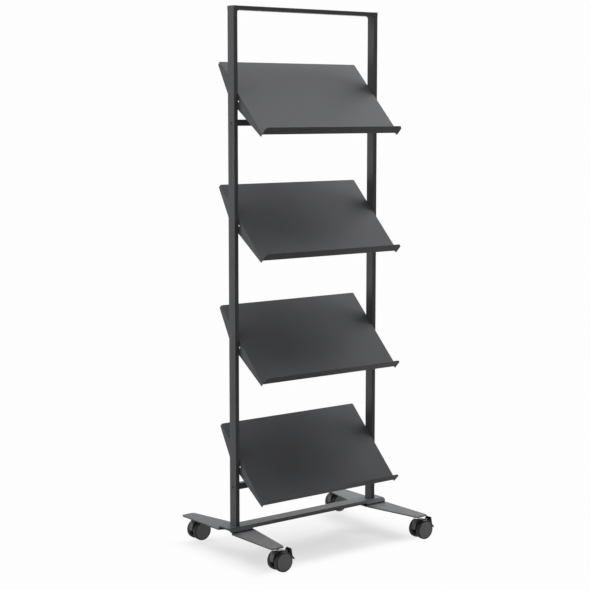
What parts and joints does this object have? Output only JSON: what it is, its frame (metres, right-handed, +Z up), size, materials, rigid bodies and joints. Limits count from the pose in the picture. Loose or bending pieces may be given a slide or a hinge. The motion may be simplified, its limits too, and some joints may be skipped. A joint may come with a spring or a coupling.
{
  "type": "periodical display rack",
  "caption": "Mobile display rack for periodicals: a tubular steel frame with sloping lipped shelves, spread feet and braked swivel casters.",
  "frame": {"origin": "on the floor, under the middle of the rack's frame", "axes": "+X to the right seen from the shelves' side, +Y to the back, +Z up"},
  "size_m": [0.7142, 0.514, 1.786],
  "materials": {
    "powder_coat": "fine satin powder coat, anthracite grey",
    "raw_steel": "plain machined",
    "zinc": "bright zinc plate",
    "black_screw": "black oxide",
    "caster_plastic": "moulded nylon, fine texture",
    "wheel_plastic": "smooth moulded nylon",
    "tyre_rubber": "soft tread, satin",
    "lever_plastic": "polished black"
  },
  "bodies": {
    "frame": {"left_upright": "powder_coat", "right_upright": "powder_coat", "top_bow": "powder_coat", "bow_spigots": "raw_steel", "shelf_1": "powder_coat", "shelf_2": "powder_coat", "shelf_3": "powder_coat", "shelf_4": "powder_coat", "shelf_screws": "zinc", "shelf_rivet_nuts": "zinc", "upper_crossbar": "powder_coat", "lower_crossbar": "powder_coat", "crossbar_plugs": "raw_steel", "crossbar_screws": "black_screw", "base_beam": "powder_coat", "beam_spacers": "raw_steel", "left_foot": "powder_coat", "right_foot": "powder_coat", "upright_end_blocks": "raw_steel", "foot_screws": "zinc", "caster_weld_nuts": "powder_coat", "stem_retaining_rings": "zinc", "front_left_caster_stem": "zinc", "front_right_caster_stem": "zinc", "rear_left_caster_stem": "zinc", "rear_right_caster_stem": "zinc"},
    "front_left_swivel": {"front_left_caster_housing": "caster_plastic", "front_left_caster_axle": "zinc", "front_left_caster_lever_pin": "zinc"},
    "front_left_front_wheel": {"front_left_caster_front_wheel": "wheel_plastic", "front_left_caster_front_tyre": "tyre_rubber"},
    "front_left_back_wheel": {"front_left_caster_back_wheel": "wheel_plastic", "front_left_caster_back_tyre": "tyre_rubber"},
    "front_left_brake": {"front_left_caster_brake_lever": "lever_plastic"},
    "front_right_swivel": {"front_right_caster_housing": "caster_plastic", "front_right_caster_axle": "zinc", "front_right_caster_lever_pin": "zinc"},
    "front_right_front_wheel": {"front_right_caster_front_wheel": "wheel_plastic", "front_right_caster_front_tyre": "tyre_rubber"},
    "front_right_back_wheel": {"front_right_caster_back_wheel": "wheel_plastic", "front_right_caster_back_tyre": "tyre_rubber"},
    "front_right_brake": {"front_right_caster_brake_lever": "lever_plastic"},
    "rear_left_swivel": {"rear_left_caster_housing": "caster_plastic", "rear_left_caster_axle": "zinc", "rear_left_caster_lever_pin": "zinc"},
    "rear_left_front_wheel": {"rear_left_caster_front_wheel": "wheel_plastic", "rear_left_caster_front_tyre": "tyre_rubber"},
    "rear_left_back_wheel": {"rear_left_caster_back_wheel": "wheel_plastic", "rear_left_caster_back_tyre": "tyre_rubber"},
    "rear_left_brake": {"rear_left_caster_brake_lever": "lever_plastic"},
    "rear_right_swivel": {"rear_right_caster_housing": "caster_plastic", "rear_right_caster_axle": "zinc", "rear_right_caster_lever_pin": "zinc"},
    "rear_right_front_wheel": {"rear_right_caster_front_wheel": "wheel_plastic", "rear_right_caster_front_tyre": "tyre_rubber"},
    "rear_right_back_wheel": {"rear_right_caster_back_wheel": "wheel_plastic", "rear_right_caster_back_tyre": "tyre_rubber"},
    "rear_right_brake": {"rear_right_caster_brake_lever": "lever_plastic"}
  },
  "joints": [
    {"name": "front_left_swivel", "type": "hinge", "parent": "frame", "child": "front_left_swivel", "pos_m": [-0.304, -0.2285, 0.072], "axis": [0, 0, 1], "continuous": true},
    {"name": "front_left_front_wheel_spin", "type": "hinge", "parent": "front_left_swivel", "child": "front_left_front_wheel", "pos_m": [-0.2805, -0.2285, 0.0325], "axis": [0, 1, 0], "continuous": true},
    {"name": "front_left_back_wheel_spin", "type": "hinge", "parent": "front_left_swivel", "child": "front_left_back_wheel", "pos_m": [-0.2805, -0.2285, 0.0325], "axis": [0, 1, 0], "continuous": true},
    {"name": "front_left_brake", "type": "hinge", "parent": "front_left_swivel", "child": "front_left_brake", "pos_m": [-0.25999, -0.2285, 0.05694], "axis": [0, 1, 0], "range_deg": [0, 12]},
    {"name": "front_right_swivel", "type": "hinge", "parent": "frame", "child": "front_right_swivel", "pos_m": [0.304, -0.2285, 0.072], "axis": [0, 0, 1], "continuous": true},
    {"name": "front_right_front_wheel_spin", "type": "hinge", "parent": "front_right_swivel", "child": "front_right_front_wheel", "pos_m": [0.3275, -0.2285, 0.0325], "axis": [0, 1, 0], "continuous": true},
    {"name": "front_right_back_wheel_spin", "type": "hinge", "parent": "front_right_swivel", "child": "front_right_back_wheel", "pos_m": [0.3275, -0.2285, 0.0325], "axis": [0, 1, 0], "continuous": true},
    {"name": "front_right_brake", "type": "hinge", "parent": "front_right_swivel", "child": "front_right_brake", "pos_m": [0.34801, -0.2285, 0.05694], "axis": [0, 1, 0], "range_deg": [0, 12]},
    {"name": "rear_left_swivel", "type": "hinge", "parent": "frame", "child": "rear_left_swivel", "pos_m": [-0.304, 0.2285, 0.072], "axis": [0, 0, 1], "continuous": true},
    {"name": "rear_left_front_wheel_spin", "type": "hinge", "parent": "rear_left_swivel", "child": "rear_left_front_wheel", "pos_m": [-0.2805, 0.2285, 0.0325], "axis": [0, 1, 0], "continuous": true},
    {"name": "rear_left_back_wheel_spin", "type": "hinge", "parent": "rear_left_swivel", "child": "rear_left_back_wheel", "pos_m": [-0.2805, 0.2285, 0.0325], "axis": [0, 1, 0], "continuous": true},
    {"name": "rear_left_brake", "type": "hinge", "parent": "rear_left_swivel", "child": "rear_left_brake", "pos_m": [-0.25999, 0.2285, 0.05694], "axis": [0, 1, 0], "range_deg": [0, 12]},
    {"name": "rear_right_swivel", "type": "hinge", "parent": "frame", "child": "rear_right_swivel", "pos_m": [0.304, 0.2285, 0.072], "axis": [0, 0, 1], "continuous": true},
    {"name": "rear_right_front_wheel_spin", "type": "hinge", "parent": "rear_right_swivel", "child": "rear_right_front_wheel", "pos_m": [0.3275, 0.2285, 0.0325], "axis": [0, 1, 0], "continuous": true},
    {"name": "rear_right_back_wheel_spin", "type": "hinge", "parent": "rear_right_swivel", "child": "rear_right_back_wheel", "pos_m": [0.3275, 0.2285, 0.0325], "axis": [0, 1, 0], "continuous": true},
    {"name": "rear_right_brake", "type": "hinge", "parent": "rear_right_swivel", "child": "rear_right_brake", "pos_m": [0.34801, 0.2285, 0.05694], "axis": [0, 1, 0], "range_deg": [0, 12]}
  ]
}
